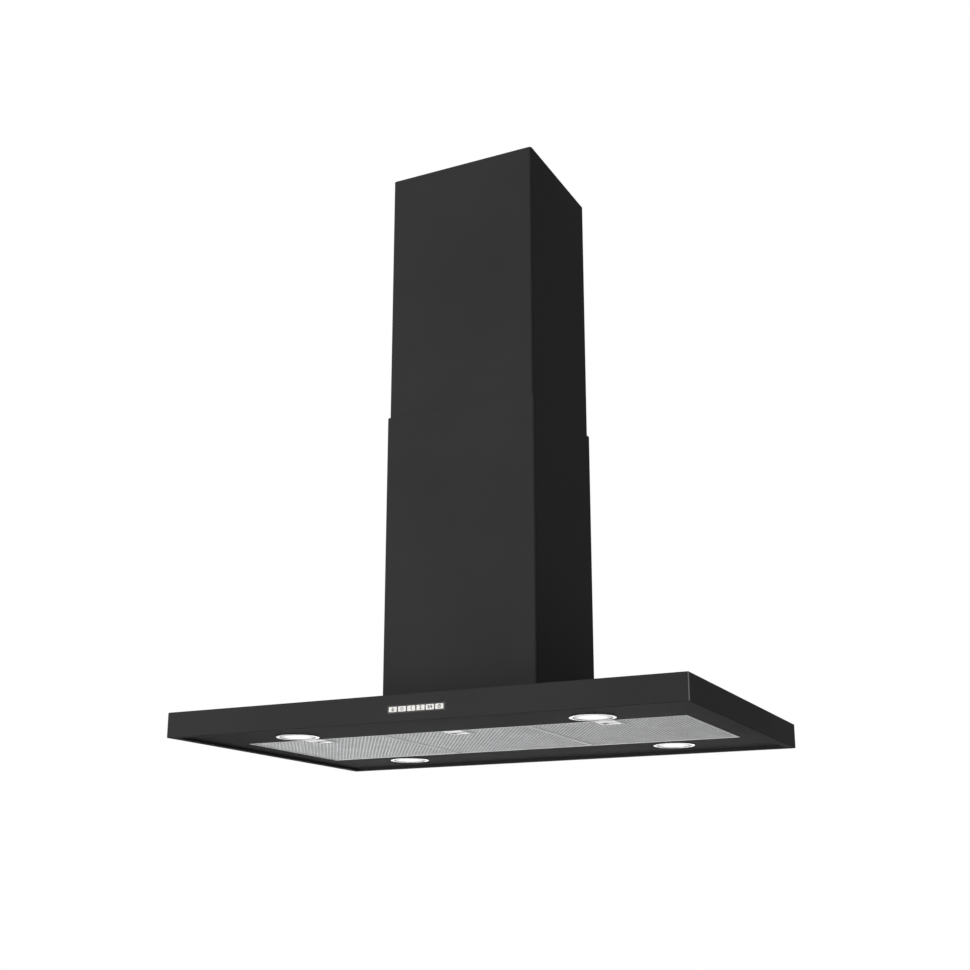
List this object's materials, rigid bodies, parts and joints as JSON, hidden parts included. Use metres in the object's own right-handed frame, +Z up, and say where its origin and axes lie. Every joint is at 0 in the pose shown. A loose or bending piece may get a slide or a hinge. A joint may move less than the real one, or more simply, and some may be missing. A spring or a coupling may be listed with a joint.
{
  "type": "island chimney range hood",
  "caption": "Ceiling-hung chimney range hood with a flat black canopy, telescoping chimney, fan, lamps, push buttons and slide-latched grease filters.",
  "frame": {"origin": "middle of the ceiling plate's top face, which meets the ceiling", "axes": "+Z up towards the ceiling, -Y towards the front with the buttons, +X to the right seen from the front"},
  "size_m": [0.9, 0.6008, 1.04],
  "materials": {
    "galvanised_steel": "galvanised sheet, spangled",
    "black_steel": "satin black powder coat",
    "screw_steel": "zinc-plated steel",
    "black_screws": "blackened steel",
    "fan_plastic": "moulded plastic",
    "motor_paint": "painted steel can",
    "black_plastic": "moulded plastic",
    "wire_rubber": "insulated wire",
    "circuit_board": "solder-masked board",
    "lamp_metal": "satin metal ring",
    "lamp_diffuser": "frosted white, lit",
    "damper_metal": "plain aluminium",
    "button_plastic": "off-white, printed symbols",
    "filter_frame_metal": "satin aluminium",
    "filter_mesh_metal": "expanded aluminium mesh",
    "latch_metal": "polished plate"
  },
  "bodies": {
    "ceiling_mount": {"ceiling_plate": "galvanised_steel", "upper_upright_front_left": "galvanised_steel", "upper_upright_front_right": "galvanised_steel", "upper_upright_rear_left": "galvanised_steel", "upper_upright_rear_right": "galvanised_steel", "upper_chimney_front": "black_steel", "upper_chimney_rear": "black_steel", "upper_chimney_screws": "black_screws"},
    "lower_chimney": {"lower_chimney_front": "black_steel", "lower_chimney_rear": "black_steel", "lower_chimney_screws": "black_screws"},
    "fan_rotor": {"impeller_hub": "fan_plastic", "impeller_blades": "fan_plastic", "impeller_rings": "fan_plastic", "motor_shaft": "screw_steel"},
    "damper_left": {"damper_flap_left": "damper_metal"},
    "damper_right": {"damper_flap_right": "damper_metal"},
    "button_light_cap": {"button_light": "button_plastic"},
    "button_fan_cap": {"button_fan": "button_plastic"},
    "button_speed_1_cap": {"button_speed_1": "button_plastic"},
    "button_speed_2_cap": {"button_speed_2": "button_plastic"},
    "button_speed_3_cap": {"button_speed_3": "button_plastic"},
    "button_timer_cap": {"button_timer": "button_plastic"},
    "filter_left": {"filter_frame_left": "filter_frame_metal", "filter_mesh_left": "filter_mesh_metal"},
    "latch_slide_left": {"latch_left": "latch_metal"},
    "filter_centre": {"filter_frame_centre": "filter_frame_metal", "filter_mesh_centre": "filter_mesh_metal"},
    "latch_slide_centre": {"latch_centre": "latch_metal"},
    "filter_right": {"filter_frame_right": "filter_frame_metal", "filter_mesh_right": "filter_mesh_metal"},
    "latch_slide_right": {"latch_right": "latch_metal"},
    "canopy": {"lower_upright_front_left": "galvanised_steel", "lower_upright_front_right": "galvanised_steel", "lower_upright_rear_left": "galvanised_steel", "lower_upright_rear_right": "galvanised_steel", "filter_rail_front": "galvanised_steel", "filter_rail_rear": "galvanised_steel", "motor_box": "galvanised_steel", "motor_bracket": "galvanised_steel", "control_box": "galvanised_steel", "control_lid": "galvanised_steel", "canopy_shell": "black_steel", "underside_panel": "black_steel", "frame_screws": "screw_steel", "frame_nuts": "screw_steel", "body_screws": "screw_steel", "fan_screws": "screw_steel", "lamp_clips": "screw_steel", "scroll_front": "fan_plastic", "scroll_rear": "fan_plastic", "outlet_collar": "fan_plastic", "motor": "motor_paint", "cable_gland": "black_plastic", "switch_frame": "black_plastic", "wire_loom": "wire_rubber", "switch_board": "circuit_board", "lamp_boards": "circuit_board", "lamp_housings": "lamp_metal", "lamp_lenses": "lamp_diffuser"}
  },
  "joints": [
    {"name": "height_adjust", "type": "slide", "parent": "ceiling_mount", "child": "canopy", "axis": [0, 0, 1], "range_m": [0, 0.15]},
    {"name": "chimney_lift", "type": "slide", "parent": "canopy", "child": "lower_chimney", "axis": [0, 0, 1], "range_m": [0, 0.25]},
    {"name": "fan_spin", "type": "hinge", "parent": "canopy", "child": "fan_rotor", "pos_m": [-0.033, 0, -0.893], "axis": [0, 1, 0], "continuous": true},
    {"name": "damper_left_swing", "type": "hinge", "parent": "canopy", "child": "damper_left", "pos_m": [-0.0032, 0, -0.6939], "axis": [0, 1, 0], "range_deg": [0, 75]},
    {"name": "damper_right_swing", "type": "hinge", "parent": "canopy", "child": "damper_right", "pos_m": [0.0032, 0, -0.6939], "axis": [0, -1, 0], "range_deg": [0, 75]},
    {"name": "button_light_press", "type": "slide", "parent": "canopy", "child": "button_light_cap", "axis": [0, 1, 0], "range_m": [0, 0.0015], "stiffness_N_per_m": 300, "springref_m": -0.001},
    {"name": "button_fan_press", "type": "slide", "parent": "canopy", "child": "button_fan_cap", "axis": [0, 1, 0], "range_m": [0, 0.0015], "stiffness_N_per_m": 300, "springref_m": -0.001},
    {"name": "button_speed_1_press", "type": "slide", "parent": "canopy", "child": "button_speed_1_cap", "axis": [0, 1, 0], "range_m": [0, 0.0015], "stiffness_N_per_m": 300, "springref_m": -0.001},
    {"name": "button_speed_2_press", "type": "slide", "parent": "canopy", "child": "button_speed_2_cap", "axis": [0, 1, 0], "range_m": [0, 0.0015], "stiffness_N_per_m": 300, "springref_m": -0.001},
    {"name": "button_speed_3_press", "type": "slide", "parent": "canopy", "child": "button_speed_3_cap", "axis": [0, 1, 0], "range_m": [0, 0.0015], "stiffness_N_per_m": 300, "springref_m": -0.001},
    {"name": "button_timer_press", "type": "slide", "parent": "canopy", "child": "button_timer_cap", "axis": [0, 1, 0], "range_m": [0, 0.0015], "stiffness_N_per_m": 300, "springref_m": -0.001},
    {"name": "filter_left_tilt", "type": "hinge", "parent": "canopy", "child": "filter_left", "pos_m": [-0.2635, 0.1395, -1.0315], "axis": [1, 0, 0], "range_deg": [0, 60]},
    {"name": "latch_left_slide", "type": "slide", "parent": "filter_left", "child": "latch_slide_left", "axis": [0, 1, 0], "range_m": [0, 0.006], "stiffness_N_per_m": 300, "springref_m": -0.003},
    {"name": "filter_centre_tilt", "type": "hinge", "parent": "canopy", "child": "filter_centre", "pos_m": [0, 0.1395, -1.0315], "axis": [1, 0, 0], "range_deg": [0, 60]},
    {"name": "latch_centre_slide", "type": "slide", "parent": "filter_centre", "child": "latch_slide_centre", "axis": [0, 1, 0], "range_m": [0, 0.006], "stiffness_N_per_m": 300, "springref_m": -0.003},
    {"name": "filter_right_tilt", "type": "hinge", "parent": "canopy", "child": "filter_right", "pos_m": [0.2635, 0.1395, -1.0315], "axis": [1, 0, 0], "range_deg": [0, 60]},
    {"name": "latch_right_slide", "type": "slide", "parent": "filter_right", "child": "latch_slide_right", "axis": [0, 1, 0], "range_m": [0, 0.006], "stiffness_N_per_m": 300, "springref_m": -0.003}
  ]
}
